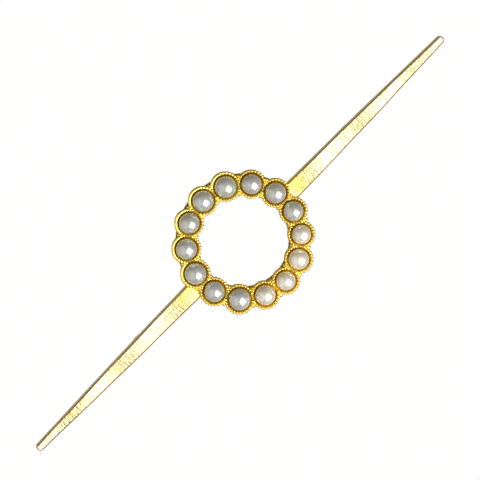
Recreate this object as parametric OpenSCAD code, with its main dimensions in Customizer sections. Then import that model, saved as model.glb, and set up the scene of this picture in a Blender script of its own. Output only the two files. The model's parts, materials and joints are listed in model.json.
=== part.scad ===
// Bar brooch: a ring of split pearls in soldered collets between two tapered
// bar arms, with a hinged pin and a rotating safety catch on its back.
// X runs along the bar, Z points out of the face, and Z = 0 is the surface
// that the brooch lies on. The origin is midway between the bar's two tips.

/* [Bar] */
// From the ring's centre to the left tip
left_len = 30.4; // [25:0.2:38]
// From the ring's centre to the right tip
right_len = 29.6; // [24:0.2:38]
// Thickness of the bar
arm_t = 1.1; // [0.9:0.05:1.5]
// Width of the bar where it meets the ring
arm_root_w = 1.9; // [1.6:0.05:2.3]
// Width of the bar halfway along an arm
arm_mid_w = 1.48; // [1.2:0.02:1.6]
// Width of the bar at its rounded tips
arm_tip_w = 0.78; // [0.6:0.02:1.1]
// Chamfer along the bar's front edges
arm_bevel = 0.17; // [0.05:0.01:0.25]

/* [Pearl ring] */
// Number of pearls
pearl_count = 14; // [12:1:16]
// Middle diameter of the pearls
pearl_d = 2.18; // [1.8:0.02:2.62]
// Metal between neighbouring pearls
pearl_gap = 0.5; // [0.42:0.02:0.7]
// Turn of the ring, so that a joint between two collets faces each arm
ring_turn = -1.4; // [-3:0.2:3]
// How far the widest part of a pearl lies below the rim
pearl_sink = 0.19; // [0.15:0.01:0.3]
// How far behind its widest part a pearl is split
pearl_cut = 0.16; // [0.1:0.01:0.3]
// Thickness of the flat ring behind the collets
back_ring_t = 0.5; // [0.3:0.05:0.8]
// How far the back ring reaches in from the circle of the pearls
back_ring_in = 1.19; // [0.9:0.01:1.3]
// How far the back ring reaches out from the circle of the pearls
back_ring_out = 0.94; // [0.8:0.01:1.2]
// Diameter of the hole in the back ring behind each pearl
back_hole_d = 1.1; // [0.8:0.05:1.3]

/* [Collets] */
// Height of a collet from the back ring to its rim
collet_h = 1.3; // [1.0:0.05:1.8]
// Plain sloping lip between a pearl and the rim
lip_w = 0.14; // [0.08:0.01:0.2]
// How far the lip slopes down to the pearl
lip_drop = 0.15; // [0.05:0.01:0.18]
// Width of the raised rim that carries the milled beads
rim_w = 0.34; // [0.24:0.02:0.42]
// How far the middle of the rim's round lies below its top
rim_low = 0.06; // [0.02:0.01:0.12]
// Diameter of the grains where two rims meet
grain_d = 0.4; // [0.3:0.02:0.5]
// Ledge under the edge of a pearl
ledge_w = 0.24; // [0.15:0.01:0.35]
// How much narrower a collet is at its foot
wall_draft = 0.05; // [0:0.01:0.1]

/* [Pin] */
// Diameter of the pin wire
wire_d = 0.64; // [0.52:0.02:0.78]
// Room for the cloth between the wire and the back of the bar
cloth_gap = 0.93; // [0.76:0.01:1.4]
// From the ring's centre to the hinge
hinge_reach = 15; // [12.5:0.5:20.5]
// From the ring's centre to the middle of the catch
catch_reach = 15; // [12.5:0.5:20.5]
// Bend radius where the wire turns to go round behind the pearls
bend_r = 1.5; // [1.2:0.1:2.0]
// How much thinner the wire is where bending has drawn it out
bend_thinning = 0.005; // [0.004:0.001:0.01]
// Length of the tapered point
point_len = 6.4; // [5.2:0.2:7.6]
// Radius of the rounded tip of the point
point_r = 0.07; // [0.04:0.01:0.1]
// How far the point reaches past the middle of the catch
point_past_catch = 2.2; // [1.6:0.1:3]

/* [Hinge] */
// Diameter of the hinge rivet
rivet_d = 0.4; // [0.3:0.02:0.5]
// Width of each fixed knuckle
ear_w = 0.2; // [0.16:0.01:0.35]
// Thickness of the web that joins a fixed knuckle to its plate
ear_web = 0.99; // [0.7:0.01:1.1]
// Length of the heel that rests against the plate when the pin is shut
heel_len = 0.4; // [0.2:0.05:0.5]
// Length of the hinge's base plate
hinge_plate_len = 2.6; // [2:0.1:4]

/* [Catch] */
// Length of the barrel
barrel_len = 2.2; // [1.8:0.1:2.7]
// Wall of the barrel
barrel_wall = 0.15; // [0.12:0.01:0.2]
// Wall of the turning sleeve
sleeve_wall = 0.14; // [0.1:0.01:0.18]
// How much shorter the sleeve is than the barrel
sleeve_short = 0.2; // [0.1:0.05:0.4]
// Width of the neck between the barrel and its plate
neck_w = 0.6; // [0.4:0.05:0.7]
// Diameter of the thumb lever
lever_d = 0.24; // [0.18:0.01:0.3]
// Diameter of the ball on the end of the lever
ball_d = 0.34; // [0.28:0.01:0.42]
// How far the ball's middle stands off the barrel
ball_off = 0.13; // [0.08:0.01:0.2]
// Height of the window's top above the middle of the barrel
window_top = 0.56; // [0.54:0.01:0.6]
// Length of the catch's base plate
catch_plate_len = 2.8; // [2.2:0.1:4]

/* [Soldered plates] */
// Thickness of the two base plates
plate_t = 0.3; // [0.2:0.05:0.35]
// Width of the two base plates
plate_w = 1.1; // [0.9:0.05:1.3]

/* [Fits] */
// Gap that the solder or cement fills between two pieces that don't move
seat_gap = 0.01; // [0.005:0.005:0.02]
// Radial clearance of a turning fit
turn_gap = 0.02; // [0.015:0.005:0.03]
// Side clearance of the pin's knuckle between the fixed knuckles
side_gap = 0.03; // [0.02:0.01:0.05]
// Room round the point in the sleeve's bore
bore_play = 0.11; // [0.1:0.01:0.15]
// Room on each side of the point where it drops out of the catch
mouth_play = 0.06; // [0.04:0.01:0.08]
// Gap between the heel and the plate, and between the ball and what the brooch lies on
stop_gap = 0.02; // [0.01:0.01:0.04]

/* [Hidden] */
$fn = 48;
HULL_FN = 32;
BIG = 100;

// How far each pearl is from the middle diameter: no two split pearls match.
PEARL_TRIM = [
    0.04, -0.04, 0.12, 0.05, 0.01, 0.04, 0.10,
    0.01, 0.13, -0.02, -0.14, -0.01, -0.14, -0.06
];

function two_digits(n) = n < 10 ? str("0", n) : str(n);
SEATS = [0 : pearl_count - 1];

// Round the ring, each seat takes room in proportion to its pearl.
function pearl_r(k) = (pearl_d + PEARL_TRIM[k % len(PEARL_TRIM)]) / 2;
function room(k) = 2 * pearl_r(k) + pearl_gap;
function rooms_before(k) = k == 0 ? 0 : room(k - 1) + rooms_before(k - 1);
all_rooms = rooms_before(pearl_count);
function joint_angle(k) = ring_turn + 360 * rooms_before(k) / all_rooms;
function seat_angle(k) = (joint_angle(k) + joint_angle(k + 1)) / 2;
ring_r = all_rooms / (2 * pearl_count * sin(180 / pearl_count));
ring_x = (left_len - right_len) / 2;
back_in_r = ring_r - back_ring_in;
back_out_r = ring_r + back_ring_out;

// Pin: a straight root, a bow that follows the pearls, and a straight tongue
hinge_x = ring_x - hinge_reach;
catch_x = ring_x + catch_reach;
wire_r = wire_d / 2;
tip_x = catch_x + point_past_catch;
taper_x = tip_x - point_len;
bow_r = ring_r;
bow_x = sqrt(pow(bow_r + bend_r, 2) - pow(bend_r, 2));
bend_angle = acos(bend_r / (bow_r + bend_r));
bend_lap = 0.5;
knuckle_w = wire_d + 0.04;

// Catch: the sleeve's bore and its slot are made for the point's thickness there.
sleeve_len = barrel_len - sleeve_short;
entry_x = catch_x - sleeve_len / 2;
entry_r = wire_r - (wire_r - point_r) * max(0, entry_x - taper_x) / point_len;
sleeve_bore_r = entry_r + bore_play;
mouth_w = 2 * (entry_r + mouth_play);
sleeve_r = sleeve_bore_r + sleeve_wall;
barrel_bore_r = sleeve_r + turn_gap;
barrel_r = barrel_bore_r + barrel_wall;
window_len = ball_d + 0.06;

// The hinge's knuckles are as thick as the barrel, so the brooch lies level on both.
hinge_w = knuckle_w + 2 * side_gap + 2 * ear_w;

// Heights above the surface that the brooch lies on
pivot_z = barrel_r;
pin_drop = cloth_gap + wire_r;
back_z = pivot_z + pin_drop;
plate_z = back_z - plate_t;
collet_z = back_z + back_ring_t;
rim_z = collet_z + collet_h;
pearl_z = rim_z - pearl_sink;
bearing_z = pearl_z - pearl_cut;

// The open lever points down until its ball nearly touches that surface.
lever_reach = barrel_r + ball_off;
lever_dip = asin((pivot_z - ball_d / 2 - stop_gap) / lever_reach);

// Collet
rim_r = rim_w / 2;
function rim_circle(k) = pearl_r(k) + lip_w + rim_r;
function collet_r(k) = rim_circle(k) + 0.6 * rim_r;

module about_ring() {
    translate([ring_x, 0, 0]) children();
}

module at_seat(k) {
    about_ring() rotate([0, 0, seat_angle(k)]) translate([ring_r, 0, 0]) children();
}

// A round bar along X from x0 to x1, through the middle of the pin's hinge
module x_bar(x0, x1, r0, r1) {
    translate([x0, 0, pivot_z]) rotate([0, 90, 0]) cylinder(h = x1 - x0, r1 = r0, r2 = r1);
}

// A round bar along Y, centred on the hinge's axis
module hinge_bar(r, w) {
    translate([hinge_x, 0, pivot_z]) rotate([90, 0, 0]) cylinder(h = w, r = r, center = true);
}

module back_ring() {
    color("goldenrod")
    difference() {
        about_ring() translate([0, 0, back_z]) difference() {
            cylinder(h = back_ring_t, r = back_out_r, $fn = 96);
            translate([0, 0, -1]) cylinder(h = back_ring_t + 2, r = back_in_r, $fn = 96);
        }
        for (k = SEATS)
            at_seat(k) translate([0, 0, back_z - 1]) cylinder(h = back_ring_t + 2, d = back_hole_d);
    }
}

// The part of the circle between a seat's two joints
module seat_wedge(k) {
    a0 = joint_angle(k);
    a1 = joint_angle(k + 1);
    reach = 2 * ring_r;
    about_ring() translate([0, 0, collet_z - 1]) linear_extrude(height = collet_h + 3)
        polygon([[0, 0], reach * [cos(a0), sin(a0)], reach * [cos(a1), sin(a1)]]);
}

module collet_profile(k) {
    bore = pearl_r(k) + seat_gap;
    bearing = pearl_r(k) - ledge_w;
    wall = collet_r(k);
    up = rim_z - collet_z;
    seat = bearing_z - collet_z;
    polygon([
        [bearing, 0],
        [wall - wall_draft, 0],
        [wall, up - rim_low],
        [rim_circle(k), up],
        [rim_circle(k) - rim_r, up],
        [bore, up - lip_drop],
        [bore, seat],
        [bearing, seat]
    ]);
    translate([rim_circle(k), up - rim_low]) circle(r = rim_r);
}

// Two grains stand on each joint, where the neighbouring rims cross.
module grains(k) {
    for (side = [0, 1]) {
        joint = joint_angle(k + side);
        half = abs(ring_r * sin(seat_angle(k) - joint));
        along = sqrt(max(0.01, pow(rim_circle(k), 2) - pow(half, 2)));
        mid = ring_r * cos(seat_angle(k) - joint);
        about_ring() rotate([0, 0, joint])
            for (r = [mid - along, mid + along])
                translate([r, 0, rim_z - rim_low]) sphere(d = grain_d);
    }
}

module collet(k) {
    color("goldenrod")
    intersection() {
        seat_wedge(k);
        union() {
            at_seat(k) translate([0, 0, collet_z]) rotate_extrude() collet_profile(k);
            grains(k);
        }
    }
}

// A split pearl: a ball cut flat a little behind its middle
module pearl(k) {
    color("ghostwhite")
    intersection() {
        at_seat(k) translate([0, 0, pearl_z]) sphere(r = pearl_r(k));
        at_seat(k) translate([-BIG / 2, -BIG / 2, bearing_z]) cube(BIG);
    }
}

// One arm's outline from the ring's centre outwards, taken in by inset on every side
module arm_outline(reach, inset) {
    root_x = ring_r;
    mid_x = (root_x + reach) / 2;
    hull() {
        translate([root_x, inset - arm_root_w / 2]) square([0.01, arm_root_w - 2 * inset]);
        translate([mid_x, inset - arm_mid_w / 2]) square([0.01, arm_mid_w - 2 * inset]);
        translate([reach - arm_tip_w / 2, 0]) circle(r = arm_tip_w / 2 - inset, $fn = HULL_FN);
    }
}

module arm_blank(reach) {
    translate([0, 0, back_z]) hull() {
        linear_extrude(height = arm_t - arm_bevel) arm_outline(reach, 0);
        linear_extrude(height = arm_t) arm_outline(reach, arm_bevel);
    }
}

// What the ring takes away from an arm's root, so that the arm seats on it
module ring_space() {
    about_ring() translate([0, 0, back_z - 1])
        cylinder(h = back_ring_t + 1, r = back_out_r + seat_gap, $fn = 96);
    for (k = SEATS)
        at_seat(k) translate([0, 0, collet_z - back_ring_t / 2])
            cylinder(h = arm_t, r = collet_r(k) + seat_gap);
}

module left_arm() {
    color("gold")
    difference() {
        about_ring() mirror([1, 0, 0]) arm_blank(left_len);
        ring_space();
    }
}

module right_arm() {
    color("gold")
    difference() {
        about_ring() arm_blank(right_len);
        ring_space();
    }
}

// A plate soldered to the bar's back, centred on x
module base_plate(x, length) {
    translate([x - length / 2, -plate_w / 2, plate_z]) cube([length, plate_w, plate_t]);
}

module hinge_base() {
    color("darkgoldenrod")
    difference() {
        union() {
            base_plate(hinge_x, hinge_plate_len);
            intersection() {
                union() {
                    hinge_bar(barrel_r, hinge_w);
                    translate([hinge_x - ear_web / 2, -hinge_w / 2, pivot_z])
                        cube([ear_web, hinge_w, pin_drop - plate_t / 2]);
                }
                for (side = [-1, 1])
                    translate([hinge_x - BIG / 2, side * (hinge_w - ear_w) / 2 - ear_w / 2, 0])
                        cube([BIG, ear_w, back_z]);
            }
        }
        hinge_bar(rivet_d / 2 + seat_gap, 2 * hinge_w);
    }
}

module hinge_rivet() {
    color("khaki") hinge_bar(rivet_d / 2, hinge_w);
}

// The pin's own knuckle, with the heel that stops it against the base plate
module pin_knuckle() {
    color("orange")
    difference() {
        union() {
            hinge_bar(barrel_r, knuckle_w);
            translate([hinge_x, -knuckle_w / 2, pivot_z])
                cube([heel_len, knuckle_w, pin_drop - plate_t - stop_gap]);
        }
        hinge_bar(rivet_d / 2 + turn_gap, 2 * knuckle_w);
    }
}

// A curved length of wire: the arc of radius r about the Z axis, from a0 on through sweep degrees
module wire_arc(r, a0, sweep, thickness) {
    rotate([0, 0, a0])
        rotate_extrude(angle = sweep, $fn = 96) translate([r, 0]) circle(r = thickness);
}

// The turn between the straight wire and the bow, where bending has drawn the
// wire a little thinner. It runs on inside its thicker neighbours at both ends.
module wire_bend() {
    translate([bow_x, -bend_r, 0])
        wire_arc(bend_r, 90 - bend_lap, bend_angle + 2 * bend_lap, wire_r - bend_thinning);
}

module pin_stem() {
    lean = 90 - bend_angle;
    color("orange")
    difference() {
        union() {
            x_bar(hinge_x, ring_x - bow_x, wire_r, wire_r);
            about_ring() translate([0, 0, pivot_z]) {
                wire_arc(bow_r, 180 + lean, 180 - 2 * lean, wire_r);
                wire_bend();
                rotate([0, 180, 0]) wire_bend();
            }
            x_bar(ring_x + bow_x, taper_x, wire_r, wire_r);
            x_bar(taper_x, tip_x, wire_r, point_r);
            translate([tip_x, 0, pivot_z]) sphere(r = point_r);
        }
        hinge_bar(barrel_r + seat_gap, 2 * knuckle_w);
    }
}

module catch_base() {
    color("darkgoldenrod") base_plate(catch_x, catch_plate_len);
}

// A tube along X about the pin's line, centred on the catch
module catch_tube(r, length) {
    x_bar(catch_x - length / 2, catch_x + length / 2, r, r);
}

// A slot from the middle of the catch out through its lower side
module catch_mouth() {
    translate([catch_x - barrel_len, -mouth_w / 2, pivot_z - 2 * barrel_r])
        cube([2 * barrel_len, mouth_w, 2 * barrel_r]);
}

module catch_barrel() {
    color("goldenrod")
    difference() {
        union() {
            catch_tube(barrel_r, barrel_len);
            translate([catch_x - barrel_len / 2, -neck_w / 2, pivot_z])
                cube([barrel_len, neck_w, pin_drop - plate_t]);
        }
        catch_tube(barrel_bore_r, 2 * barrel_len);
        catch_mouth();
        translate([catch_x - window_len / 2, -2 * barrel_r, pivot_z - 2 * barrel_r])
            cube([window_len, 2 * barrel_r, 2 * barrel_r + window_top]);
    }
}

module catch_sleeve() {
    color("khaki") {
        difference() {
            catch_tube(sleeve_r, sleeve_len);
            catch_tube(sleeve_bore_r, 2 * barrel_len);
            catch_mouth();
        }
        translate([catch_x, 0, pivot_z]) rotate([90 + lever_dip, 0, 0]) {
            translate([0, 0, sleeve_r - sleeve_wall / 2])
                cylinder(h = lever_reach - sleeve_r + sleeve_wall / 2, d = lever_d);
            translate([0, 0, lever_reach]) sphere(d = ball_d);
        }
    }
}

back_ring();
left_arm();
right_arm();
for (k = SEATS) {
    collet(k);
    pearl(k);
}
hinge_base();
hinge_rivet();
pin_knuckle();
pin_stem();
catch_base();
catch_barrel();
catch_sleeve();
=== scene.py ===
# %% [markdown]
# # A bar brooch with a ring of split pearls
# The brooch is two slim gold arms soldered to an open ring. The ring carries fourteen
# split pearls in collets with milled rims, and the back carries a hinged pin and a
# rotating safety catch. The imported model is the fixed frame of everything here: it gives
# each piece its place, and this lesson gives each piece its real shape and finish.

import json
import math
import random
from contextlib import contextmanager

import bmesh
import bpy
from mathutils import Matrix, Vector


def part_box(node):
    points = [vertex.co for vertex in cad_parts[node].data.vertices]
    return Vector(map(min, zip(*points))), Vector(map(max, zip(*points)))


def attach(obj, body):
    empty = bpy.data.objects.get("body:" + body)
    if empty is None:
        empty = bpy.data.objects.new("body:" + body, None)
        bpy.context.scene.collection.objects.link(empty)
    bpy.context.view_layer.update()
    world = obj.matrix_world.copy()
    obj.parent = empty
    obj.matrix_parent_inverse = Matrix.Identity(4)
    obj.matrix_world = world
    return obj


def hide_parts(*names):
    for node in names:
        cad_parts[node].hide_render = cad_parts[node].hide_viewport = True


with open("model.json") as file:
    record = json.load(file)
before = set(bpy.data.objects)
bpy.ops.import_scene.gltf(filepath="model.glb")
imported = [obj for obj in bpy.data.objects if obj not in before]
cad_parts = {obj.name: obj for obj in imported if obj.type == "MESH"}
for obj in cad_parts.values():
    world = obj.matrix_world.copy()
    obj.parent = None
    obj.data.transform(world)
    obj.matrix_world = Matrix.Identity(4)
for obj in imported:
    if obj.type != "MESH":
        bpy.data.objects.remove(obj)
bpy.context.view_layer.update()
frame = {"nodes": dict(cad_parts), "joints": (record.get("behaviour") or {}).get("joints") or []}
MM = 0.001

# %% [markdown]
# ## What the frame says
# A goldsmith lays the ring out from the pearls, because no two split pearls match. So the
# sizes that everything hangs on are read from the frame's boxes: the ring's middle, the
# circle of the pearls, and each pearl's own radius and place.

# %% Sizes from the frame
ring_low, ring_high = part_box("back_ring")
RING = (ring_low + ring_high) / 2
BACK_Z, COLLET_Z = ring_low.z, ring_high.z
SEATS = sorted(name[-2:] for name in frame["nodes"] if name.startswith("pearl_"))


def pearl_place(seat):
    """The middle and the radius of the ball that a split pearl was sawn from."""
    low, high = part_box("pearl_" + seat)
    radius = (high.x - low.x) / 2
    return Vector(((low.x + high.x) / 2, (low.y + high.y) / 2, high.z - radius)), radius


PEARLS = {seat: pearl_place(seat) for seat in SEATS}
CIRCLE_R = sum((middle - RING).to_2d().length for middle, _ in PEARLS.values()) / len(SEATS)
PEARL_Z = PEARLS[SEATS[0]][0].z
SPLIT_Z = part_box("pearl_" + SEATS[0])[0].z
PEARL_SINK = 0.19 * MM
RIM_Z = PEARL_Z + PEARL_SINK
MEAN_R = sum(radius for _, radius in PEARLS.values()) / len(SEATS)
print(f"{len(SEATS)} pearls of {2 * MEAN_R / MM:.2f} mm on a circle of {CIRCLE_R / MM:.2f} mm")

# %% [markdown]
# ## Working as on the bench
# Every piece starts as a primitive and is shaped in edit mode. These few helpers keep that
# tidy. An operator acts on all that is selected, so each helper clears the selection first,
# and each leaves its object at the origin with its place in its mesh.

# %% Bench helpers
TINY = 1e-8


def take(*pieces):
    """Selects only these pieces and makes the first one active."""
    bpy.ops.object.select_all(action="DESELECT")
    for piece in pieces:
        piece.select_set(True)
    bpy.context.view_layer.objects.active = pieces[0]


def start(primitive, name, **settings):
    """Adds a primitive and fixes its place in its mesh."""
    bpy.ops.object.select_all(action="DESELECT")
    primitive(**settings)
    piece = bpy.context.object
    piece.name = name
    piece.data.name = name
    bpy.ops.object.transform_apply(location=True, rotation=True, scale=True)
    return piece


@contextmanager
def editing(piece):
    """Edit mode on one piece, with all of it selected."""
    take(piece)
    bpy.ops.object.mode_set(mode="EDIT")
    bpy.ops.mesh.select_mode(type="VERT")
    bpy.ops.mesh.select_all(action="SELECT")
    yield
    bpy.ops.object.mode_set(mode="OBJECT")


def pick(piece, kind, test):
    """In edit mode, selects the vertices, edges or faces that pass the test."""
    mesh = bmesh.from_edit_mesh(piece.data)
    bpy.ops.mesh.select_all(action="DESELECT")
    bpy.ops.mesh.select_mode(type=kind)
    parts = {"VERT": mesh.verts, "EDGE": mesh.edges, "FACE": mesh.faces}[kind]
    for part in parts:
        if test(part):
            part.select_set(True)
    mesh.select_flush(True)
    bmesh.update_edit_mesh(piece.data)


def apply(piece, kind, **settings):
    """Adds a modifier, sets it and applies it."""
    take(piece)
    modifier = piece.modifiers.new(kind.title(), kind)
    for key, value in settings.items():
        setattr(modifier, key, value)
    bpy.ops.object.modifier_apply(modifier=modifier.name)


def cut(piece, tool, operation="DIFFERENCE"):
    """Takes the tool's shape from the piece, or adds it, and puts the tool away."""
    apply(piece, "BOOLEAN", object=tool, operation=operation, solver="EXACT")
    bpy.data.objects.remove(tool)


def soften(piece, width, angle=35):
    """Rounds every edge that is sharper than the angle in degrees."""
    apply(
        piece, "BEVEL", width=width, segments=2,
        limit_method="ANGLE", angle_limit=math.radians(angle),
    )


def copy_of(piece, name, place):
    """A copy with a mesh of its own, moved by a matrix."""
    twin = piece.copy()
    twin.data = piece.data.copy()
    twin.name = name
    bpy.context.collection.objects.link(twin)
    twin.data.transform(place)
    return twin


def join(pieces):
    """Joins pieces into the first one."""
    take(*pieces)
    bpy.ops.object.join()
    return bpy.context.object


# %% [markdown]
# ## The lathe
# Collets, knuckles, tubes and the rivet are all round, so they come from one lathe: a
# circle is extruded, lifted and resized from one point of the outline to the next. The
# spin tool could do it too, but it needs the outline drawn first. A ring closes on itself
# with bridge, and a solid piece gets its two ends filled.

# %% Lathe and block
TO_X = Matrix.Rotation(math.pi / 2, 4, "Y")
TO_Y = Matrix.Rotation(-math.pi / 2, 4, "X")


def lathe(name, outline, steps=48, hollow=False):
    """Turns (radius, height) points about the Z axis."""
    radius, height = outline[0]
    piece = start(
        bpy.ops.mesh.primitive_circle_add, name,
        vertices=steps, radius=radius, location=(0, 0, height),
    )
    with editing(piece):
        for next_radius, next_height in outline[1:]:
            bpy.ops.mesh.extrude_edges_move()
            grow = next_radius / radius
            bpy.ops.transform.translate(value=(0, 0, next_height - height))
            bpy.ops.transform.resize(value=(grow, grow, 1), center_override=(0, 0, 0))
            radius, height = next_radius, next_height
        if hollow:
            bpy.ops.mesh.select_all(action="DESELECT")
            bpy.ops.mesh.select_mode(type="EDGE")
            bpy.ops.mesh.select_non_manifold()
            bpy.ops.mesh.bridge_edge_loops()
        else:
            bpy.ops.mesh.select_all(action="SELECT")
            bpy.ops.mesh.fill_holes(sides=0)
        bpy.ops.mesh.select_all(action="SELECT")
        bpy.ops.mesh.normals_make_consistent(inside=False)
    return piece


def block(name, low, high):
    """A box between two corners, as a start for a plate or a cutter."""
    low, high = Vector(low), Vector(high)
    return start(
        bpy.ops.mesh.primitive_cube_add, name,
        size=1, location=(low + high) / 2, scale=high - low,
    )


def arc(middle, radius, first, last, steps):
    """Points of an outline along an arc, from one angle to another in degrees."""
    angles = [math.radians(first + (last - first) * i / steps) for i in range(steps + 1)]
    return [(middle[0] + radius * math.cos(a), middle[1] + radius * math.sin(a)) for a in angles]


# %% [markdown]
# ## Camera
# A brooch is looked at from the front, a little from above its upper edge. The camera
# stands far off with a long lens, so the bar keeps its straight taper. Its three axes are
# worked out first, because the fill light and the dark cards are placed from them too.

# %% Camera
TILT, ROLL = math.radians(8.5), math.radians(45.5)
LENS, SENSOR = 900, 36
FIELD = 49.8 * MM
toward = Vector((0, math.sin(TILT), math.cos(TILT)))
along = Vector((1, 0, 0))
across = toward.cross(along)
right = along * math.cos(ROLL) - across * math.sin(ROLL)
up = along * math.sin(ROLL) + across * math.cos(ROLL)


def from_camera(x, y, z):
    """A direction given to the right, up and towards the camera."""
    return (right * x + up * y + toward * z).normalized()


OFF_LEFT, OFF_UP = 0.40 * MM, 0.16 * MM
aim = Vector((RING.x, RING.y, PEARL_Z)) - right * OFF_LEFT + up * OFF_UP
camera = bpy.data.objects.new("camera", bpy.data.cameras.new("camera"))
bpy.context.collection.objects.link(camera)
camera.data.lens, camera.data.sensor_width = LENS, SENSOR
camera.data.clip_start = 10 * MM
stand_off = FIELD * LENS / SENSOR
camera.matrix_world = Matrix.Translation(aim + toward * stand_off) @ Matrix(
    (right, up, toward)
).transposed().to_4x4()
bpy.context.scene.camera = camera
print(f"camera {stand_off / MM:.0f} mm away, tilted {math.degrees(TILT):.1f} degrees")

# %% [markdown]
# ## Shader maths as Python
# A finish is easier to read as an expression than as a chain of nodes. `Value` wraps one
# socket, and its operators add Math nodes. Every other node comes from `Recipe.node`.

# %% Shader classes
class Value:
    """One socket of a material, with Python's operators as Math nodes."""

    def __init__(self, recipe, socket):
        self.recipe, self.socket = recipe, socket

    def maths(self, operation, first, second):
        return self.recipe.node("ShaderNodeMath", {"operation": operation}, {0: first, 1: second})

    def __add__(self, other):
        return self.maths("ADD", self, other)

    def __radd__(self, other):
        return self.maths("ADD", other, self)

    def __rsub__(self, other):
        return self.maths("SUBTRACT", other, self)

    def __mul__(self, other):
        return self.maths("MULTIPLY", self, other)

    def __rmul__(self, other):
        return self.maths("MULTIPLY", other, self)


class Recipe:
    """The nodes of a material, or of the world."""

    def __init__(self, owner, coordinates="Object"):
        self.owner = owner
        self.owner.use_nodes = True
        self.tree = self.owner.node_tree
        self.tree.nodes.clear()
        self.place = self.node("ShaderNodeTexCoord", output=coordinates)

    def node(self, kind, settings=None, inputs=None, output=0):
        """Adds a node: its settings first, then its sockets, and gives back one output."""
        made = self.tree.nodes.new(kind)
        for key, value in (settings or {}).items():
            if key == "stops":
                for stop, (position, colour) in zip(self.stops(made, len(value)), value):
                    stop.position, stop.color = position, colour
            else:
                setattr(made, key, value)
        for key, value in (inputs or {}).items():
            if isinstance(value, Value):
                self.tree.links.new(value.socket, made.inputs[key])
            else:
                made.inputs[key].default_value = value
        return Value(self, made.outputs[output]) if made.outputs else None

    def stops(self, ramp, count):
        """A colour ramp's stops, as many as asked for."""
        while len(ramp.color_ramp.elements) < count:
            ramp.color_ramp.elements.new(0.5)
        return list(ramp.color_ramp.elements)

    def noise(self, size, detail=3, stretch=(1, 1, 1), turn=0, rough=0.5):
        """Noise with grains of about this size, drawn out along X, Y or Z."""
        spot = self.node(
            "ShaderNodeMapping", {"vector_type": "TEXTURE"},
            {"Vector": self.place, "Rotation": (0, 0, math.radians(turn)), "Scale": stretch},
        )
        return self.node(
            "ShaderNodeTexNoise", {},
            {"Vector": spot, "Scale": 1 / size, "Detail": detail, "Roughness": rough},
        )

    def step(self, value, low, high):
        """0 below low, 1 above high, and smooth between them."""
        return self.node(
            "ShaderNodeMapRange", {"interpolation_type": "SMOOTHSTEP"},
            {0: value, 1: low, 2: high, 3: 0.0, 4: 1.0},
        )

    def mix(self, mask, first, second):
        """The first colour where the mask is 0, the second where it is 1."""
        return self.node("ShaderNodeMix", {"data_type": "RGBA"}, {0: mask, 6: first, 7: second}, 2)

    def axis(self, letter):
        """One coordinate of the place on the piece, in metres."""
        return self.node("ShaderNodeSeparateXYZ", {}, {0: self.place}, letter)

    def finish(self, bump, depth, **sockets):
        """The surface itself, with its bump of this depth in metres."""
        relief = {"Height": bump, "Distance": depth, "Strength": 1.0}
        sockets["Normal"] = self.node("ShaderNodeBump", {}, relief)
        named = {key.replace("_", " "): value for key, value in sockets.items()}
        surface = self.node("ShaderNodeBsdfPrincipled", {}, named, "BSDF")
        self.node("ShaderNodeOutputMaterial", {}, {"Surface": surface})
        return self.owner


# %% [markdown]
# ## Gold of the settings
# Collets are high-carat gold, soft enough to be milled and burnished. It is deep yellow,
# with random patches of tarnish. Down between pearl and rim its colour is painted darker
# and redder, as painted shade of that recess, and the tops are left brighter. The height
# of a point sets that painted shade.

# %% Setting gold
def setting_gold():
    recipe = Recipe(bpy.data.materials.new("setting_gold"))
    height = recipe.axis("Z")
    # low is painted shade: the colour darkens towards the bottom of the recess between pearl and rim.
    low = 1 - recipe.step(height, RIM_Z - 0.32 * MM, RIM_Z - 0.06 * MM)
    patches = recipe.noise(1.3 * MM, detail=4)
    fine = recipe.noise(0.07 * MM, detail=3, rough=0.65)
    # tarnish here mixes random tarnish patches with the painted shade of the recess from low.
    tarnish = recipe.step(low * 0.75 + patches * 0.5 + fine * 0.15, 0.55, 1.15)
    colour = recipe.mix(tarnish, (1.0, 0.78, 0.17, 1), (0.54, 0.31, 0.02, 1))
    return recipe.finish(
        fine + patches * 0.4, 0.002 * MM,
        Base_Color=colour, Metallic=1.0, Roughness=0.14 + 0.16 * tarnish + 0.06 * fine,
    )


SETTING_GOLD = setting_gold()

# %% [markdown]
# ## Gold of the arms
# The arms are a paler alloy, planished and then stoned across their width. The stoning
# leaves short scuffs from edge to edge, crossing each other at a small angle, which only
# show where the metal turns away from the light. Solder has flooded the roots next to the
# ring with a yellower, pitted skin.

# %% Arm gold
def arm_gold():
    recipe = Recipe(bpy.data.materials.new("arm_gold"))
    scuffs = [
        recipe.noise(0.16 * MM, detail=2, stretch=(1, 6, 1), turn=turn, rough=0.6)
        for turn in (-9, 8)
    ]
    scuffed = recipe.step(scuffs[0] + scuffs[1], 0.92, 1.14)
    clouds = recipe.noise(2.4 * MM, detail=4)
    pits = recipe.step(recipe.noise(0.2 * MM, detail=1), 0.66, 0.74)
    out = recipe.node(
        "ShaderNodeVectorMath", {"operation": "DISTANCE"}, {0: recipe.place, 1: RING}, "Value"
    )
    flood = (1 - recipe.step(out, 8.2 * MM, 10.6 * MM)) * recipe.step(clouds, 0.3, 0.6)
    colour = recipe.mix(clouds, (0.97, 0.87, 0.52, 1), (0.94, 0.79, 0.42, 1))
    colour = recipe.mix(scuffed * 0.85, colour, (0.68, 0.48, 0.20, 1))
    colour = recipe.mix(flood * 0.95, colour, (0.96, 0.75, 0.17, 1))
    relief = scuffs[0] + scuffs[1] + flood * pits * -1.5
    return recipe.finish(
        relief, 0.026 * MM,
        Base_Color=colour, Metallic=1.0, Roughness=0.13 + 0.1 * scuffed + 0.08 * flood,
    )


ARM_GOLD = arm_gold()

# %% [markdown]
# ## Gold of the fittings
# Hinge, catch and pin are plainly finished: filed, buffed, and a little tarnished where
# a thumb doesn't reach. The pin wire is drawn, so its fine lines run along it.

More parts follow.
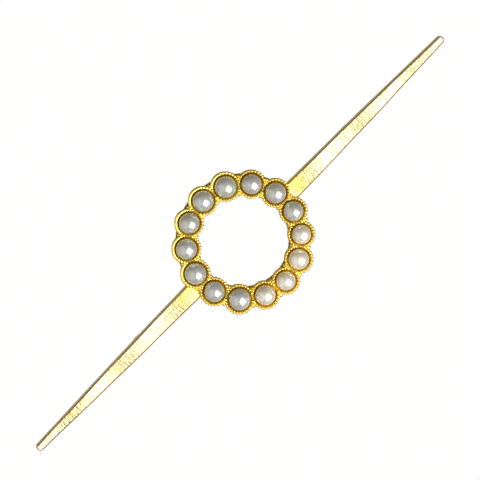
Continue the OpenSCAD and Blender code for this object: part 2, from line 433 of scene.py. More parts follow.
# %% Fitting gold and pin gold
def worked_gold(name, bright, dull, stretch):
    recipe = Recipe(bpy.data.materials.new(name))
    lines = recipe.noise(0.06 * MM, detail=3, stretch=stretch, rough=0.6)
    patches = recipe.noise(1.1 * MM, detail=5, rough=0.6)
    tarnish = recipe.step(patches + lines * 0.2, 0.5, 0.85)
    colour = recipe.mix(tarnish, bright, dull)
    return recipe.finish(
        lines + patches, 0.003 * MM,
        Base_Color=colour, Metallic=1.0, Roughness=0.2 + 0.14 * tarnish + 0.08 * lines,
    )


FITTING_GOLD = worked_gold("fitting_gold", (0.96, 0.74, 0.34, 1), (0.72, 0.45, 0.16, 1), (1, 3, 1))
PIN_GOLD = worked_gold("pin_gold", (0.96, 0.78, 0.42, 1), (0.8, 0.56, 0.24, 1), (12, 1, 1))

# %% [markdown]
# ## Nacre
# A pearl is thin layers of nacre, so it has a soft deep lustre under a sharper gloss. The
# body is silver grey with faint green and rose overtones, and the pearls on one side of
# the ring are creamier. The place on the ring sets the cream, so all share one material.

# %% Nacre
def nacre():
    recipe = Recipe(bpy.data.materials.new("nacre"))
    cream_side = Vector((0.24, -0.97, 0))
    ring_level = RING.dot(cream_side)
    level = recipe.node(
        "ShaderNodeVectorMath", {"operation": "DOT_PRODUCT"},
        {0: recipe.place, 1: cream_side}, "Value",
    )
    cream = recipe.step(level, ring_level + 0.45 * CIRCLE_R, ring_level + 0.85 * CIRCLE_R)
    clouds = recipe.noise(1.5 * MM, detail=2)
    skin = recipe.noise(0.22 * MM, detail=4, rough=0.6)
    rose = recipe.step(clouds, 0.38, 0.62)
    overtone = recipe.mix(rose, (0.52, 0.60, 0.51, 1), (0.56, 0.56, 0.61, 1))
    plain = recipe.step(recipe.noise(2.6 * MM, detail=1), 0.35, 0.65)
    silver = recipe.mix(plain, overtone, (0.55, 0.59, 0.60, 1))
    colour = recipe.mix(cream * 0.85, silver, (0.97, 0.93, 0.80, 1))
    colour = recipe.mix(recipe.step(skin, 0.45, 0.75) * 0.18, colour, (0.42, 0.40, 0.37, 1))
    return recipe.finish(
        skin + clouds * 2, 0.004 * MM,
        Base_Color=colour, Roughness=0.26 + 0.1 * skin, Metallic=0.45,
        Specular_IOR_Level=0.7, Coat_Weight=1.0, Coat_Roughness=0.12, Coat_IOR=2.05,
    )


NACRE = nacre()


# %% Handing over
def hand_over(piece, material, slot, body, *nodes, angle=16):
    """Gives a finished piece its smooth shading, material, body and CAD nodes. The slot is not used."""
    piece.data.materials.clear()
    piece.data.materials.append(material)
    take(piece)
    bpy.ops.object.shade_smooth_by_angle(angle=math.radians(angle))
    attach(piece, body)
    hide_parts(*nodes)
    return len(piece.data.polygons)


# %% [markdown]
# ## Split pearls
# A whole pearl is sawn a little behind its middle, so the seat can hold it below its
# widest part. One ball is bisected flat and copied into each seat. A pearl is never a true
# ball, so each copy is pulled slightly oval and dimpled by a displacement of its own.

# %% Pearls
FACETS, LAYERS = 56, 40
OVAL, DIMPLE = 0.012, 0.022 * MM
SWELL, SQUAT = 1.015, 0.985
chance = random.Random(14)
dimples = bpy.data.textures.new("dimples", "CLOUDS")
dimples.noise_scale = 0.9 * MM
ball = start(
    bpy.ops.mesh.primitive_uv_sphere_add, "ball", segments=FACETS, ring_count=LAYERS, radius=1
)
with editing(ball):
    bpy.ops.mesh.bisect(
        plane_co=(0, 0, (SPLIT_Z - PEARL_Z) / MEAN_R), plane_no=(0, 0, 1),
        use_fill=True, clear_inner=True, threshold=TINY,
    )
for seat, (middle, radius) in PEARLS.items():
    swell = radius * SWELL
    shape = Matrix.Diagonal((swell * (1 - OVAL * chance.random()), swell, swell * SQUAT, 1))
    place = Matrix.Translation(middle) @ Matrix.Rotation(chance.uniform(0, math.tau), 4, "Z") @ shape
    pearl = copy_of(ball, "split_pearl_" + seat, place)
    apply(pearl, "DISPLACE", texture=dimples, texture_coords="GLOBAL", strength=DIMPLE, mid_level=0.6)
    faces = hand_over(pearl, NACRE, "pearl", "brooch", "pearl_" + seat, angle=60)
bpy.data.objects.remove(ball)
print(f"{len(SEATS)} split pearls of {faces} faces")

# %% [markdown]
# ## Collets
# A collet is a short tube with a ledge that the pearl sits on, a plain lip that slopes
# down to the pearl, and a round bar along its rim. One blank is turned on the lathe at the
# mean size, then copied and drawn out for each pearl. Neighbours are cut to meet on the
# line between their seats, where they are soldered.

# %% Collet blank
LIP, BAR_R, WALL, LEDGE = 0.14 * MM, 0.09 * MM, 0.09 * MM, 0.24 * MM
LIP_DEPTH, CREVICE = 0.34 * MM, 0.04 * MM
BAR_DROP, WALL_DROP = 0.19 * MM, 0.2 * MM
FOOT_EASE, FOOT_WIDEN, FOOT_RISE = 0.03 * MM, 0.06 * MM, 0.04 * MM
LIP_TURN_OUT, LIP_TURN_UP, SEAT_PLAY = 0.06 * MM, 0.1 * MM, 0.02 * MM
ROW = LIP + 0.155 * MM
row_r = MEAN_R + ROW
bar_z = RIM_Z - BAR_DROP
ledge_r = MEAN_R - LEDGE
crevice_r, crevice_z = MEAN_R + CREVICE, RIM_Z - LIP_DEPTH
foot = [(ledge_r, COLLET_Z + FOOT_EASE), (ledge_r + FOOT_EASE, COLLET_Z)]
foot += [(row_r + FOOT_EASE, COLLET_Z), (row_r + FOOT_WIDEN, COLLET_Z + FOOT_RISE)]
rim = [(row_r + WALL, bar_z - WALL_DROP)] + arc((row_r, bar_z), BAR_R, -28, 172, 10)
slope = [(crevice_r + LIP_TURN_OUT, crevice_z + LIP_TURN_UP), (crevice_r, crevice_z)]
floor_of_seat = [(MEAN_R + SEAT_PLAY, SPLIT_Z), (ledge_r, SPLIT_Z - SEAT_PLAY)]
collet_outline = foot + rim + slope + floor_of_seat
blank = lathe("collet_blank", collet_outline, steps=72, hollow=True)
print(f"collet blank of {len(blank.data.polygons)} faces")

# %% [markdown]
# ## Milled beads
# A milling wheel rolled along the rim presses it into a row of beads that lean like the
# strands of a rope. One bead is a small ball, flattened, and its copies go round the rim
# at the wheel's pitch.

# %% Bead
PITCH = 0.33 * MM
LEAN = math.radians(28)
BEAD = Vector((0.195, 0.15, 0.2)) * MM
bead = start(bpy.ops.mesh.primitive_uv_sphere_add, "bead", segments=10, ring_count=6, radius=1)
with editing(bead):
    bpy.ops.mesh.bisect(
        plane_co=(0, 0, -0.6), plane_no=(0, 0, 1),
        use_fill=True, clear_inner=True, threshold=TINY,
    )
print(f"bead of {len(bead.data.polygons)} faces")

# %% [markdown]
# ## Joints and wear
# Neighbouring collets meet on a line that shares the room between their pearls by size.
# Along the outer edge that rubs most the beads are worn down until they run together.

# %% Joints and wear
SPARE_METAL = 0.5 * MM
WORN_HEADING, WORN_HALF, WORN_FADE = 116, 66, 20
WORN_FROM = 0.6 * MM


def heading(vector):
    """The way a vector points round the ring, in radians."""
    return math.atan2(vector.y, vector.x)


def spread(first, second):
    """The angle from one heading round to another, anticlockwise."""
    return (second - first) % math.tau


HEADINGS = {seat: heading(middle - RING) for seat, (middle, _) in PEARLS.items()}


def joint_before(seat):
    """The heading of the joint between a seat and the one before it."""
    before = SEATS[SEATS.index(seat) - 1]
    rooms = [2 * PEARLS[name][1] + SPARE_METAL for name in (before, seat)]
    return HEADINGS[before] + spread(HEADINGS[before], HEADINGS[seat]) * rooms[0] / sum(rooms)


JOINTS = [joint_before(seat) for seat in SEATS]


def side_of(angle):
    """The direction square to a joint, anticlockwise."""
    return Vector((-math.sin(angle), math.cos(angle), 0))


def share(value):
    """The value, kept between 0 and 1."""
    return min(1, max(0, value))


def wear(point):
    """How far the rim is rubbed down at a point: 0 is crisp, 1 is smooth."""
    out = (point - RING).to_2d()
    off = (math.degrees(heading(out)) - WORN_HEADING + 180) % 360 - 180
    return share((WORN_HALF - abs(off)) / WORN_FADE) * share((out.length - CIRCLE_R) / WORN_FROM)


print("joints at", [round(math.degrees(angle)) for angle in JOINTS], "degrees")

# %% Collets
BEAD_DROP, BEAD_ROOM = 0.11 * MM, 0.07 * MM
WORN_DROP = 0.02 * MM
WORN_NARROWER, WORN_LONGER, WORN_LOWER = 0.06, 2, 0.4
for index, seat in enumerate(SEATS):
    middle, radius = PEARLS[seat]
    centre = Vector((middle.x, middle.y, 0))
    first, last = side_of(JOINTS[index]), -side_of(JOINTS[(index + 1) % len(SEATS)])
    draw = (radius + ROW) / row_r
    place = Matrix.Translation(centre) @ Matrix.Diagonal((draw, draw, 1, 1))
    collet = copy_of(blank, "milled_collet_" + seat, place)
    with editing(collet):
        for square in (first, last):
            bpy.ops.mesh.select_all(action="SELECT")
            bpy.ops.mesh.bisect(
                plane_co=RING, plane_no=square, use_fill=True, clear_inner=True, threshold=TINY
            )
    count = round(math.tau * (radius + ROW) / PITCH)
    beads = []
    for i in range(count):
        angle = HEADINGS[seat] + math.tau * (i + 0.5) / count
        spot = centre + Vector((math.cos(angle), math.sin(angle), 0)) * (radius + ROW)
        room = min((spot - RING).dot(square) for square in (first, last))
        if room < BEAD_ROOM:
            continue
        rubbed = wear(spot)
        spot.z = RIM_Z - BEAD_DROP - WORN_DROP * rubbed
        size = BEAD * chance.uniform(0.94, 1.05)
        size.x *= 1 - WORN_NARROWER * rubbed
        size.y *= 1 + WORN_LONGER * rubbed
        size.z *= 1 - WORN_LOWER * rubbed
        lean = (LEAN + chance.uniform(-0.06, 0.06)) * (1 - rubbed)
        turn = Matrix.Rotation(angle + lean, 4, "Z")
        place = Matrix.Translation(spot) @ turn @ Matrix.Diagonal((*size, 1))
        beads.append(copy_of(bead, "bead", place))
    collet = join([collet] + beads)
    faces = hand_over(collet, SETTING_GOLD, "setting_gold", "brooch", "collet_" + seat, angle=50)
bpy.data.objects.remove(blank)
print(f"{len(SEATS)} collets, the last of {faces} faces with {len(beads)} beads")

# %% [markdown]
# ## Grains
# Two grains stand on each joint, where neighbouring rims cross. Four more step down into
# the notches on either side, and the last two are drawn out, as a filling of solder is. A
# grain melted in place, so it is nearly round. They are one piece, because the neighbours
# share them. Each row gives a grain's place out from the joint's middle and its drop below
# the rim, both in mm, and its girth and length as multiples.

# %% Grains
GRAIN_R = 0.19 * MM
GRAIN_ROW = (
    (-0.46, 0.04, 1, 1), (0.46, 0.04, 1, 1),
    (-0.72, 0.12, 0.85, 1), (0.74, 0.12, 0.85, 1),
    (-0.84, 0.28, 1.15, 1.35), (0.88, 0.28, 1.15, 1.35),
)
grain = start(bpy.ops.mesh.primitive_uv_sphere_add, "grain", segments=20, ring_count=12, radius=1)
grains = []
for index, seat in enumerate(SEATS):
    middle, radius = PEARLS[seat]
    angle = JOINTS[index]
    outward = Vector((math.cos(angle), math.sin(angle), 0))
    reach = (middle - RING).dot(outward)
    for offset, drop, girth, long in GRAIN_ROW:
        size = GRAIN_R * girth * chance.uniform(0.9, 1.06)
        spot = RING + outward * (reach + offset * MM)
        spot.z = RIM_Z - drop * MM
        shape = Matrix.Diagonal((size * long, size * chance.uniform(0.9, 1.05), size * 0.95, 1))
        place = Matrix.Translation(spot) @ Matrix.Rotation(angle, 4, "Z") @ shape
        grains.append(copy_of(grain, "grain", place))
bpy.data.objects.remove(grain)
bpy.data.objects.remove(bead)
grains = join(grains)
grains.name = "shared_grains"
hand_over(grains, SETTING_GOLD, "setting_gold", "brooch")
print("shared grains:", len(grains.data.polygons), "faces")

# %% [markdown]
# ## Back ring
# The flat ring that everything is soldered to is sawn from sheet, drilled behind each
# pearl to save gold and to let the seat be cleaned, and its edges are eased with a file.

# %% Back ring
EASE, REACH_IN, HOLE_R = 0.04 * MM, 1.19 * MM, 0.55 * MM
OUT_R = (ring_high.x - ring_low.x) / 2
IN_R = CIRCLE_R - REACH_IN
back_ring = lathe(
    "sawn_back_ring",
    [(IN_R, BACK_Z), (OUT_R, BACK_Z), (OUT_R, COLLET_Z), (IN_R, COLLET_Z)], steps=128, hollow=True,
)
back_ring.data.transform(Matrix.Translation((RING.x, RING.y, 0)))
drill = lathe("drill", [(HOLE_R, BACK_Z - MM), (HOLE_R, COLLET_Z + MM)], steps=32)
holes = [copy_of(drill, "hole", Matrix.Translation((p.x, p.y, 0))) for p, _ in PEARLS.values()]
bpy.data.objects.remove(drill)
cut(back_ring, join(holes))
soften(back_ring, EASE)
hand_over(back_ring, SETTING_GOLD, "setting_gold", "brooch", "back_ring")
print("back ring:", len(back_ring.data.polygons), "faces")

# %% [markdown]
# ## Arms
# Each arm is forged: a blank drawn out in steps, narrower at each one, with a blunt round
# tip. The hammer leaves the top in long shallow waves, which is what breaks its shine into
# light and dark stretches. The root's front corners are chamfered first. The blank then
# grows by extruding its end face, each step is resized about the bar's back, and the top is
# set so that the chamfer stays even. At the tip the top slopes away.

# %% Arms
ROOT_W, MID_W, TIP_W = 1.9 * MM, 1.48 * MM, 0.78 * MM
ARM_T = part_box("left_arm")[1].z - BACK_Z
HAMMERED_T = 0.985 * ARM_T
CHAMFER, LEAST_FLAT, BLUNT = 0.16 * MM, 0.3, 0.2 * MM
WAVE_SLOPE = math.tan(math.radians(3.8))
STEPS, TIP_TURN = 60, 9
SLIVER, END_SLACK = 0.001 * MM, 0.004 * MM
ARM_EASE, SEAT_SLACK = 0.02 * MM, 0.012 * MM
NEAR_BAR, UNDERCUT = 2.6 * MM, 0.2 * MM


def arm_width(reach, length):
    """The arm's width at a distance from the ring's middle."""
    tip = TIP_W / 2
    middle = (CIRCLE_R + length) / 2
    if reach > length - tip:
        return max(BLUNT, 2 * math.sqrt(max(0, tip**2 - (reach - length + tip) ** 2)))
    if reach > middle:
        return MID_W + (TIP_W - MID_W) * (reach - middle) / (length - tip - middle)
    return ROOT_W + (MID_W - ROOT_W) * (reach - CIRCLE_R) / (middle - CIRCLE_R)


def beyond(reach, height=0):
    """A test that passes an arm's corners at this reach or past it, and above a height."""
    return lambda corner: abs(corner.co.x - RING.x) > reach - END_SLACK and corner.co.z > height


def arm(side, node, wave, crossing):
    """One arm, towards +X or -X. Its waves have this length and cross their mean there."""
    low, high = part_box(node)
    length = abs((high.x if side > 0 else low.x) - RING.x) - SLIVER

    def thickness(reach):
        swing = WAVE_SLOPE * wave / math.tau
        end_slope = max(0, CHAMFER - (length - reach))
        return HAMMERED_T - side * swing * math.sin(math.tau * (reach - crossing) / wave) - end_slope

    reaches = [CIRCLE_R + (length - TIP_W / 2 - CIRCLE_R) * i / STEPS for i in range(STEPS + 1)]
    turns = [math.radians(angle) for angle in range(TIP_TURN, 91, TIP_TURN)]
    reaches += [length - TIP_W / 2 * (1 - math.sin(turn)) for turn in turns]
    root, root_w = thickness(reaches[0]), arm_width(reaches[0], length)
    flat = root_w / 2 - CHAMFER
    blank = start(
        bpy.ops.mesh.primitive_plane_add, "forged_" + node,
        size=root, rotation=(0, side * math.pi / 2, 0),
        location=(side * reaches[0] + RING.x, 0, BACK_Z + root / 2),
    )
    with editing(blank):
        bpy.ops.transform.resize(value=(1, root_w / root, 1), center_override=(0, 0, 0))
        pick(blank, "VERT", lambda corner: corner.co.z > BACK_Z + root / 2)
        bpy.ops.mesh.bevel(affect="VERTICES", offset=CHAMFER, offset_type="OFFSET")
        bpy.ops.mesh.select_all(action="SELECT")
        for now, then in zip(reaches, reaches[1:]):
            width = arm_width(then, length)
            narrower = width / arm_width(now, length)
            bpy.ops.mesh.extrude_region_move()
            bpy.ops.transform.translate(value=(side * (then - now), 0, 0))
            bpy.ops.transform.resize(
                value=(1, narrower, thickness(then) / thickness(now)),
                center_override=(side * then + RING.x, 0, BACK_Z),
            )
            flat *= narrower
            even = max(LEAST_FLAT * width / 2, width / 2 - CHAMFER)
            pick(blank, "VERT", beyond(then, BACK_Z + 0.9 * thickness(then)))
            bpy.ops.transform.resize(value=(1, even / flat, 1), center_override=(0, 0, 0))
            flat = even
            pick(blank, "VERT", beyond(then))
        bpy.ops.mesh.select_all(action="SELECT")
        bpy.ops.mesh.normals_make_consistent(inside=False)
    return blank


def seat_on_ring(blank):
    """Cuts an arm's root to the ring and to the collets beside it."""
    reach = OUT_R + SEAT_SLACK
    tool = lathe("tool", [(reach, BACK_Z - MM), (reach, COLLET_Z)], steps=128)
    tool.data.transform(Matrix.Translation((RING.x, RING.y, 0)))
    cut(blank, tool)
    for middle, radius in PEARLS.values():
        if abs(middle.y) < NEAR_BAR:
            reach = radius + ROW + WALL + SEAT_SLACK
            tool = lathe("tool", [(reach, COLLET_Z - UNDERCUT), (reach, BACK_Z + 2 * ARM_T)], steps=64)
            tool.data.transform(Matrix.Translation((middle.x, middle.y, 0)))
            cut(blank, tool)


for side, node, wave, crossing in (
    (-1, "left_arm", 8.1 * MM, 13.5 * MM),
    (1, "right_arm", 8.2 * MM, 13.2 * MM),
):
    blank = arm(side, node, wave, crossing)
    seat_on_ring(blank)
    soften(blank, ARM_EASE, angle=25)
    faces = hand_over(blank, ARM_GOLD, "arm_gold", "brooch", node, angle=8)
    print(blank.name, faces, "faces")

# %% [markdown]
# ## Hinge
# A base plate with two fixed ears is soldered to the back of the left arm. The ears are
# discs on short webs, united with the plate and then drilled together, so the holes line
# up, as they are on the bench. The rivet's ends are spread into low domes, which keep it in.

# %% Hinge
AXES = {joint["name"]: Vector(joint["pos_m"]) for joint in frame["joints"]}
HINGE, CATCH = AXES["pin_hinge"], AXES["catch_turn"]
BARREL_R = HINGE.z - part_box("hinge_base")[0].z
PLATE_LOW, PLATE_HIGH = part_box("catch_base")
EAR_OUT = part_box("hinge_rivet")[1].y
SIDE_GAP, WEB, WEB_SINK = 0.03 * MM, 0.99 * MM, 0.1 * MM
EAR_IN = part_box("pin_knuckle")[1].y + SIDE_GAP
RIVET_R = (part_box("hinge_rivet")[1].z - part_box("hinge_rivet")[0].z) / 2
CORNER, FILED = 0.22 * MM, 0.06 * MM
HINGE_EASE, TIGHT, RUNNING = 0.03 * MM, 0.01 * MM, 0.02 * MM


def plate(name, low_x, high_x):
    """A base plate with rounded corners, on the back of an arm."""
    low_y, high_y = PLATE_LOW.y + FILED, PLATE_HIGH.y - FILED
    base = block(name, (low_x, low_y, PLATE_LOW.z), (high_x, high_y, PLATE_HIGH.z))
    with editing(base):
        pick(base, "EDGE", lambda edge: abs(edge.verts[0].co.z - edge.verts[1].co.z) > TINY)
        bpy.ops.mesh.bevel(offset=CORNER, segments=5)
    return base


def rod(name, outline, turn, spot, steps=48):
    """A turned piece, laid along an axis and moved to its spot."""
    piece = lathe(name, outline, steps)
    piece.data.transform(Matrix.Translation(spot) @ turn)
    return piece


low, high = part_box("hinge_base")
hinge = plate("hinge_plate_and_ears", low.x, high.x)
for side in (-1, 1):
    inner, outer = sorted((side * EAR_IN, side * EAR_OUT))
    cut(hinge, rod("ear", [(BARREL_R, inner), (BARREL_R, outer)], TO_Y, HINGE), "UNION")
    web_top = PLATE_LOW.z + WEB_SINK
    web = block("web", (HINGE.x - WEB / 2, inner, HINGE.z), (HINGE.x + WEB / 2, outer, web_top))
    cut(hinge, web, "UNION")
bore = RIVET_R + TIGHT
cut(hinge, rod("drill", [(bore, -MM), (bore, MM)], TO_Y, HINGE))
soften(hinge, HINGE_EASE)
hand_over(hinge, FITTING_GOLD, "fitting_gold", "brooch", "hinge_base")

HEAD_R, HEAD_T = 0.31 * MM, 0.09 * MM
dome = [(HEAD_R * math.cos(a), EAR_OUT + HEAD_T * math.sin(a)) for a in (0, 0.4, 0.8, 1.15, 1.4)]
shank = [(RIVET_R, -EAR_OUT), (RIVET_R, EAR_OUT)]
rivet = rod("spread_rivet", [(r, -h) for r, h in reversed(dome)] + shank + dome, TO_Y, HINGE, steps=32)
hand_over(rivet, FITTING_GOLD, "fitting_gold", "brooch", "hinge_rivet")
print("hinge:", len(hinge.data.polygons), "faces, rivet:", len(rivet.data.polygons), "faces")

# %% [markdown]
# ## Pin
# The pin's knuckle turns on the rivet, and its heel stops against the plate when the pin
# is shut. The stem is one drawn wire: straight, bowed round behind the pearls so that the
# ring stays open, straight again, and drawn down to a point. Its round end is extruded
# along the straights and spun round the bends.

# %% Pin knuckle
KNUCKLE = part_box("pin_knuckle")[1].y
HEEL_LEN = 0.4 * MM
knuckle = rod("pin_knuckle_and_heel", [(BARREL_R, -KNUCKLE), (BARREL_R, KNUCKLE)], TO_Y, HINGE)
heel_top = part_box("pin_knuckle")[1].z
heel = block("heel", (HINGE.x, -KNUCKLE, HINGE.z), (HINGE.x + HEEL_LEN, KNUCKLE, heel_top))
cut(knuckle, heel, "UNION")
bore = RIVET_R + RUNNING
cut(knuckle, rod("drill", [(bore, -MM), (bore, MM)], TO_Y, HINGE))
soften(knuckle, HINGE_EASE)
hand_over(knuckle, PIN_GOLD, "pin_gold", "pin", "pin_knuckle")

# %% Pin stem
STEM_LOW, STEM_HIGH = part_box("pin_stem")
WIRE_R = (STEM_HIGH.z - STEM_LOW.z) / 2
BOW_R = RING.y - STEM_LOW.y - WIRE_R
BEND_R = 1.5 * MM
POINT_LEN, POINT_R, POINT_STEPS = 6.4 * MM, 0.07 * MM, 12
STEM_FROM = HINGE.x + 0.75 * BARREL_R
bow_x = math.sqrt((BOW_R + BEND_R) ** 2 - BEND_R**2)
bend = math.acos(BEND_R / (BOW_R + BEND_R))
stem = start(
    bpy.ops.mesh.primitive_circle_add, "drawn_pin_stem", vertices=24, radius=WIRE_R,
    location=(STEM_FROM, 0, HINGE.z), rotation=(0, math.pi / 2, 0),
)


def draw_to(now, then, thickness=1.0):
    """Draws the wire's end straight along the bar, and thinner if asked."""
    bpy.ops.mesh.extrude_edges_move()
    bpy.ops.transform.translate(value=(then - now, 0, 0))
    bpy.ops.transform.resize(value=(1, thickness, thickness), center_override=(then, 0, HINGE.z))


def bend_round(x, y, angle, steps):
    """Bends the wire's end about an upright former at (x, y)."""
    bpy.ops.mesh.spin(steps=steps, angle=angle, center=(x, y, HINGE.z), axis=(0, 0, 1))


with editing(stem):
    draw_to(STEM_FROM, RING.x - bow_x)
    bend_round(RING.x - bow_x, -BEND_R, bend, 12)
    bend_round(RING.x, RING.y, -2 * bend, 48)
    bend_round(RING.x + bow_x, -BEND_R, bend, 12)
    tip = STEM_HIGH.x - POINT_R
    draw_to(RING.x + bow_x, tip - POINT_LEN)
    parts = [i / POINT_STEPS for i in range(POINT_STEPS + 1)]
    places = [tip - POINT_LEN * (1 - part) for part in parts]
    girths = [WIRE_R + (POINT_R - WIRE_R) * part**1.15 for part in parts]
    for i in range(POINT_STEPS):
        draw_to(places[i], places[i + 1], girths[i + 1] / girths[i])
    draw_to(tip, tip + 0.5 * POINT_R, 0.87)
    draw_to(tip + 0.5 * POINT_R, tip + 0.87 * POINT_R, 0.57)
    bpy.ops.mesh.select_all(action="SELECT")
    bpy.ops.mesh.remove_doubles(threshold=TINY)
    bpy.ops.mesh.fill_holes(sides=0)
    bpy.ops.mesh.normals_make_consistent(inside=False)
hand_over(stem, PIN_GOLD, "pin_gold", "pin", "pin_stem")
print("pin stem:", len(stem.data.polygons), "faces,", [round(v / MM, 2) for v in stem.dimensions], "mm")

# %% [markdown]
# ## Safety catch
# The catch is two tubes, one turning in the other, and both are slit so that the pin can
# drop in. The outer barrel has a window for the thumb lever of the inner sleeve. Turning
# the sleeve closes the slit. Each tube is a solid rod that is drilled and then slit, and
# the lever is turned with its ball in one piece.

# %% Catch
catch_plate = plate("catch_plate", PLATE_LOW.x, PLATE_HIGH.x)
hand_over(catch_plate, FITTING_GOLD, "fitting_gold", "brooch", "catch_base")
BARREL_LOW, BARREL_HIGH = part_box("catch_barrel")
SLEEVE_LOW, SLEEVE_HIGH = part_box("catch_sleeve")
BARREL_BORE, SLEEVE_R, SLEEVE_BORE = 0.465 * MM, 0.445 * MM, 0.305 * MM
MOUTH, NECK = 0.51 * MM, 0.6 * MM
LEVER_R, BALL_R = 0.12 * MM, 0.17 * MM
LEVER_REACH = BARREL_R + 0.13 * MM
WINDOW, WINDOW_TOP = 0.4 * MM, 0.56 * MM
BARREL_EASE, SLEEVE_EASE, LEVER_SINK = 0.02 * MM, 0.015 * MM, 0.07 * MM
FAR = 3 * MM


def slit():
    """The cutter for the way in of the pin, from the bore down."""
    low = (CATCH.x - FAR, -MOUTH / 2, CATCH.z - FAR)
    return block("slit", low, (CATCH.x + FAR, MOUTH / 2, CATCH.z))


half = (BARREL_HIGH.x - BARREL_LOW.x) / 2
barrel = rod("catch_barrel_and_neck", [(BARREL_R, -half), (BARREL_R, half)], TO_X, CATCH)
neck = block("neck", (BARREL_LOW.x, -NECK / 2, CATCH.z), (BARREL_HIGH.x, NECK / 2, BARREL_HIGH.z))
cut(barrel, neck, "UNION")
cut(barrel, rod("drill", [(BARREL_BORE, -FAR), (BARREL_BORE, FAR)], TO_X, CATCH))
cut(barrel, slit())
window_low = (CATCH.x - WINDOW / 2, -FAR, CATCH.z - FAR)
window = block("window", window_low, (CATCH.x + WINDOW / 2, 0, CATCH.z + WINDOW_TOP))
cut(barrel, window)
soften(barrel, BARREL_EASE)
hand_over(barrel, FITTING_GOLD, "fitting_gold", "brooch", "catch_barrel")

half = (SLEEVE_HIGH.x - SLEEVE_LOW.x) / 2
sleeve = rod("turning_sleeve", [(SLEEVE_R, -half), (SLEEVE_R, half)], TO_X, CATCH)
cut(sleeve, rod("drill", [(SLEEVE_BORE, -FAR), (SLEEVE_BORE, FAR)], TO_X, CATCH))
cut(sleeve, slit())
dip = math.asin((CATCH.z - BALL_R - SLEEVE_LOW.z) / LEVER_REACH)
ball_round = arc((0, LEVER_REACH), BALL_R, -42, 78, 8)
shaft = [(LEVER_R, SLEEVE_R - LEVER_SINK), (LEVER_R * 0.9, LEVER_REACH - BALL_R)]
lever = lathe("lever", shaft + ball_round, steps=28)
lever.data.transform(Matrix.Translation(CATCH) @ Matrix.Rotation(math.pi / 2 + dip, 4, "X"))
cut(sleeve, lever, "UNION")
soften(sleeve, SLEEVE_EASE)
hand_over(sleeve, FITTING_GOLD, "fitting_gold", "safety_sleeve", "catch_sleeve")
print("catch barrel:", len(barrel.data.polygons), "faces, sleeve:", len(sleeve.data.polygons), "faces")

# %% [markdown]
# ## Lamps and cards
# The flat tops of the arms both mirror one direction, which is called their glint here. Two
# bright panels stand beside it, so that the hammer's waves swing each top on and off them
# and break its shine. A wide dim fill lights the rest. The panels stand far off, or the two
# arms would not look alike. Two dark cards, which only the polish sees, give the pearls and
# the gold their deep tones.

# %% Lamps and cards
LAMP_AWAY, CARD_AWAY = 2.7, 0.6


def softbox(name, direction, width, height, radiance):
    """An area light facing the ring, with its width along the bar."""
    centre = aim + direction * LAMP_AWAY
    level = (along - direction * along.dot(direction)).normalized()
    data = bpy.data.lights.new(name, "AREA")
    data.shape, data.size, data.size_y = "RECTANGLE", width, height
    data.energy = radiance * math.pi * width * height
    lamp = bpy.data.objects.new(name, data)
    bpy.context.collection.objects.link(lamp)
    lamp.matrix_world = Matrix.Translation(centre) @ Matrix(
        (level, direction.cross(level), direction)
    ).transposed().to_4x4()


def card(name, direction, radius):
    """A round dark card, which only the polish sees."""
    made = start(
        bpy.ops.mesh.primitive_circle_add, name, vertices=32, radius=radius, fill_type="NGON"
    )
    facing = direction.to_track_quat("Z", "Y").to_matrix().to_4x4()
    made.data.transform(Matrix.Translation(aim + direction * CARD_AWAY) @ facing)
    dark = Recipe(bpy.data.materials.new(name))
    soot = dark.node("ShaderNodeEmission", {}, {"Color": (0.30, 0.26, 0.42, 1), "Strength": 0.12})
    dark.node("ShaderNodeOutputMaterial", {}, {"Surface": soot})
    made.data.materials.append(dark.owner)
    made.visible_camera = made.visible_diffuse = made.visible_shadow = False


glint = Vector((0, -math.sin(TILT), math.cos(TILT)))
past = Vector((0, -math.cos(TILT), -math.sin(TILT)))


def off_glint(swing, lean):
    """A direction so many degrees along the bar and past the arms' own glint."""
    sideways = along * math.tan(math.radians(swing))
    return (glint + sideways + past * math.tan(math.radians(lean))).normalized()


def span(degrees):
    """The length that fills so many degrees as seen from the ring."""
    return 2 * LAMP_AWAY * math.tan(math.radians(degrees / 2))


softbox("key", off_glint(15.8, 27), span(37.6), span(62), radiance=3.2)
softbox("side_panel", off_glint(-13, 33), span(22), span(50), radiance=4.0)
softbox("fill", from_camera(-0.75, -0.3, 0.45), span(90), span(80), radiance=0.45)
card("flag", from_camera(0.34, -0.80, 0.46), radius=0.09)
card("lens_shade", toward, radius=0.06)

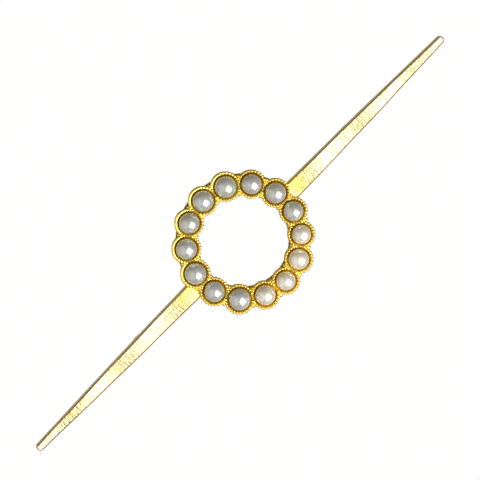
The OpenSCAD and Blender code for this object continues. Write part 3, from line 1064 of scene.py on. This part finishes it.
# %% [markdown]
# ## Surround and floor
# The gold mirrors a room that is dim at the height of the bar and paler above and below.
# That is the world's colour by height, and the camera itself sees plain white instead. The
# floor lies below the reach of the open pin and is seen only from above, so that the back
# can be looked at too.

# %% Surround and floor
FLOOR_DROP, FLOOR_SIZE = 40 * MM, 3
TONES = (
    (0.0, (0.42, 0.38, 0.33, 1)), (0.4, (0.34, 0.29, 0.22, 1)),
    (0.5, (0.24, 0.16, 0.08, 1)), (0.62, (0.17, 0.14, 0.10, 1)),
    (0.85, (0.31, 0.27, 0.22, 1)), (1.0, (0.38, 0.31, 0.22, 1)),
)
world = bpy.data.worlds.new("surround")
bpy.context.scene.world = world
surround = Recipe(world, coordinates="Generated")
rise = surround.node("ShaderNodeMapRange", {}, {0: surround.axis("Z"), 1: -1.0, 2: 1.0})
tone = surround.node("ShaderNodeValToRGB", {"stops": TONES}, {"Fac": rise})
seen = surround.node("ShaderNodeLightPath", output="Is Camera Ray")
shade = surround.node("ShaderNodeBackground", {}, {"Color": tone, "Strength": 1.0})
page = surround.node("ShaderNodeBackground", {}, {"Color": (1, 1, 1, 1), "Strength": 1.0})
blend = surround.node("ShaderNodeMixShader", {}, {"Fac": seen, 1: shade, 2: page})
surround.node("ShaderNodeOutputWorld", {}, {"Surface": blend})

floor = start(
    bpy.ops.mesh.primitive_plane_add, "floor", size=FLOOR_SIZE, location=(0, 0, -FLOOR_DROP)
)
paper = Recipe(bpy.data.materials.new("paper"))
glow = paper.node("ShaderNodeEmission", {}, {"Color": (1, 1, 0.995, 1), "Strength": 1.0})
clear = paper.node("ShaderNodeBsdfTransparent")
under = paper.node("ShaderNodeNewGeometry", output="Backfacing")
sheet = paper.node("ShaderNodeMixShader", {}, {"Fac": under, 1: glow, 2: clear})
paper.node("ShaderNodeOutputMaterial", {}, {"Surface": sheet})
floor.data.materials.append(paper.owner)
floor.visible_glossy = floor.visible_diffuse = floor.visible_shadow = False
bpy.context.scene.view_settings.view_transform = "Standard"
print("surround of", len(TONES), "tones, floor", round(FLOOR_DROP / MM), "mm down")
